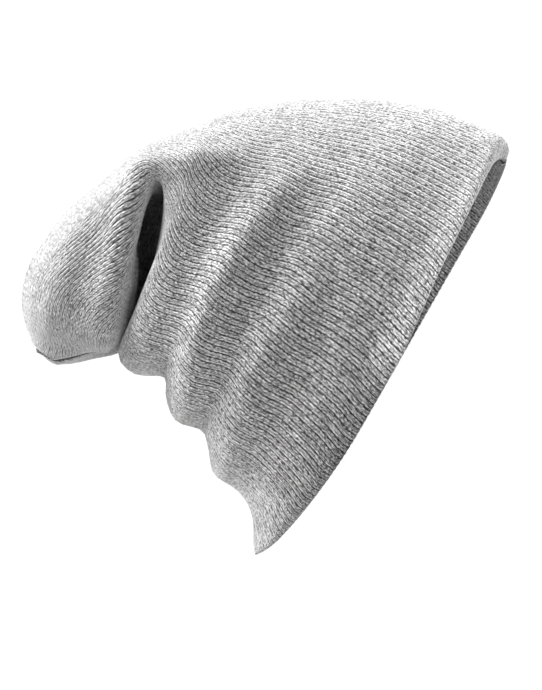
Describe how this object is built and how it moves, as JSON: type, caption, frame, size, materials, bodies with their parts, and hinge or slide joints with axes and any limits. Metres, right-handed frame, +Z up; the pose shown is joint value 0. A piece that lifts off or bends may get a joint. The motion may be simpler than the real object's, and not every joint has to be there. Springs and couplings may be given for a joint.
{
  "type": "slouch beanie",
  "caption": "Ribbed knit slouch beanie in heather grey with a folded rim and a crown pouch that falls back, closed by a crown seam, resting on its rim.",
  "frame": {"origin": "middle of the hat's box on the surface that its rim rests on", "axes": "+X towards the forehead, +Y to the wearer's left, +Z up out of the crown"},
  "size_m": [0.223, 0.1686, 0.1693],
  "materials": {
    "heather_rib_knit": "heather grey marled acrylic yarn in a fine one by one rib, matt and slightly fuzzy",
    "seam_yarn": "the same yarn drawn tight in linking stitches, matt, darker down in its groove"
  },
  "bodies": {
    "root": {"knit_shell": "heather_rib_knit", "crown_seam": "seam_yarn"}
  },
  "joints": []
}
